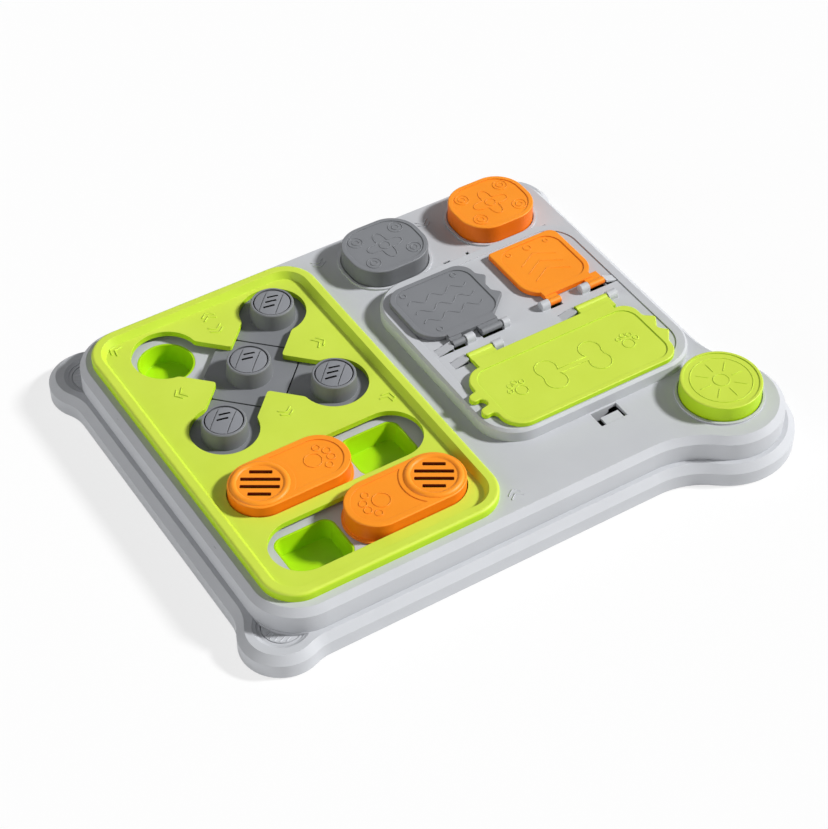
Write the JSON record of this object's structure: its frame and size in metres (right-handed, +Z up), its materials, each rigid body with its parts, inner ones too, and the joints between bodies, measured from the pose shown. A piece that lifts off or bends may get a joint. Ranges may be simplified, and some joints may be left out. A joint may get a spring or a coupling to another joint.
{
  "type": "dog puzzle feeder",
  "caption": "Two-tier treat puzzle for dogs: knobs that slide in an X, long vented sliders, hinged flaps and lift-off caps, each over a treat cup.",
  "frame": {"origin": "on the ground under the middle of the whole outline, at the undersides of the rubber feet", "axes": "+X along the long side towards the caps and flaps, +Y towards the back edge with the two square caps, +Z up"},
  "size_m": [0.3758, 0.3062, 0.045],
  "materials": {
    "light_gray_body": "fine satin texture",
    "lime_green": "fine satin texture",
    "orange": "fine satin texture",
    "dark_gray": "fine satin texture",
    "rubber_feet": "matt",
    "screw_steel": "plated"
  },
  "bodies": {
    "feeder_body": {"base_screws": "screw_steel", "gray_cap_well": "lime_green", "gray_pocket": "lime_green", "green_pocket": "lime_green", "green_tray": "lime_green", "lid_platform": "light_gray_body", "lower_base": "light_gray_body", "orange_cap_well": "lime_green", "orange_pocket": "lime_green", "round_cap_well": "lime_green", "round_cup_back_left": "lime_green", "round_cup_back_right": "lime_green", "round_cup_centre": "lime_green", "round_cup_front_left": "lime_green", "round_cup_front_right": "lime_green", "rubber_foot_back_left": "rubber_feet", "rubber_foot_back_right": "rubber_feet", "rubber_foot_front_left": "rubber_feet", "rubber_foot_front_right": "rubber_feet", "slide_deck": "light_gray_body", "slot_cup_back_left": "lime_green", "slot_cup_back_right": "lime_green", "slot_cup_front_left": "lime_green", "slot_cup_front_right": "lime_green", "upper_board": "light_gray_body"},
    "knob_centre_body": {"knob_slider_centre": "dark_gray", "knob_disc_centre": "dark_gray"},
    "knob_back_right_body": {"knob_slider_back_right": "dark_gray", "knob_disc_back_right": "dark_gray"},
    "knob_front_right_body": {"knob_slider_front_right": "dark_gray", "knob_disc_front_right": "dark_gray"},
    "knob_front_left_body": {"knob_slider_front_left": "dark_gray", "knob_disc_front_left": "dark_gray"},
    "long_slider_back_body": {"pill_slider_back": "orange", "vent_grille_back": "orange"},
    "long_slider_front_body": {"pill_slider_front": "orange", "vent_grille_front": "orange"},
    "gray_flap_body": {"gray_flap": "dark_gray"},
    "orange_flap_body": {"orange_flap": "orange"},
    "green_flap_body": {"green_flap": "lime_green"},
    "gray_cap_body": {"gray_cap": "dark_gray"},
    "orange_cap_body": {"orange_cap": "orange"},
    "round_cap_body": {"round_cap": "lime_green"}
  },
  "joints": [
    {"name": "knob_centre_slide", "type": "slide", "parent": "feeder_body", "child": "knob_centre_body", "axis": [-0.7071, 0.7071, 0], "range_m": [0, 0.053]},
    {"name": "knob_back_right_play", "type": "slide", "parent": "feeder_body", "child": "knob_back_right_body", "axis": [0.7071, 0.7071, 0], "range_m": [-0.0005, 0.001]},
    {"name": "knob_front_right_play", "type": "slide", "parent": "feeder_body", "child": "knob_front_right_body", "axis": [0.7071, -0.7071, 0], "range_m": [-0.0005, 0.001]},
    {"name": "knob_front_left_play", "type": "slide", "parent": "feeder_body", "child": "knob_front_left_body", "axis": [-0.7071, -0.7071, 0], "range_m": [-0.0005, 0.001]},
    {"name": "long_slider_back_slide", "type": "slide", "parent": "feeder_body", "child": "long_slider_back_body", "axis": [1, 0, 0], "range_m": [0, 0.0486]},
    {"name": "long_slider_front_slide", "type": "slide", "parent": "feeder_body", "child": "long_slider_front_body", "axis": [-1, 0, 0], "range_m": [0, 0.0486]},
    {"name": "gray_flap_hinge", "type": "hinge", "parent": "feeder_body", "child": "gray_flap_body", "pos_m": [0.0424, 0.00695, 0.042], "axis": [1, 0, 0], "range_deg": [0, 90]},
    {"name": "orange_flap_hinge", "type": "hinge", "parent": "feeder_body", "child": "orange_flap_body", "pos_m": [0.1144, 0.00695, 0.042], "axis": [1, 0, 0], "range_deg": [0, 90]},
    {"name": "green_flap_hinge", "type": "hinge", "parent": "feeder_body", "child": "green_flap_body", "pos_m": [0.0774, -0.00705, 0.042], "axis": [1, 0, 0], "range_deg": [-90, 0]},
    {"name": "gray_cap_lift", "type": "slide", "parent": "feeder_body", "child": "gray_cap_body", "axis": [0, 0, 1], "range_m": [0, 0.03]},
    {"name": "orange_cap_lift", "type": "slide", "parent": "feeder_body", "child": "orange_cap_body", "axis": [0, 0, 1], "range_m": [0, 0.03]},
    {"name": "round_cap_lift", "type": "slide", "parent": "feeder_body", "child": "round_cap_body", "axis": [0, 0, 1], "range_m": [0, 0.03]}
  ]
}
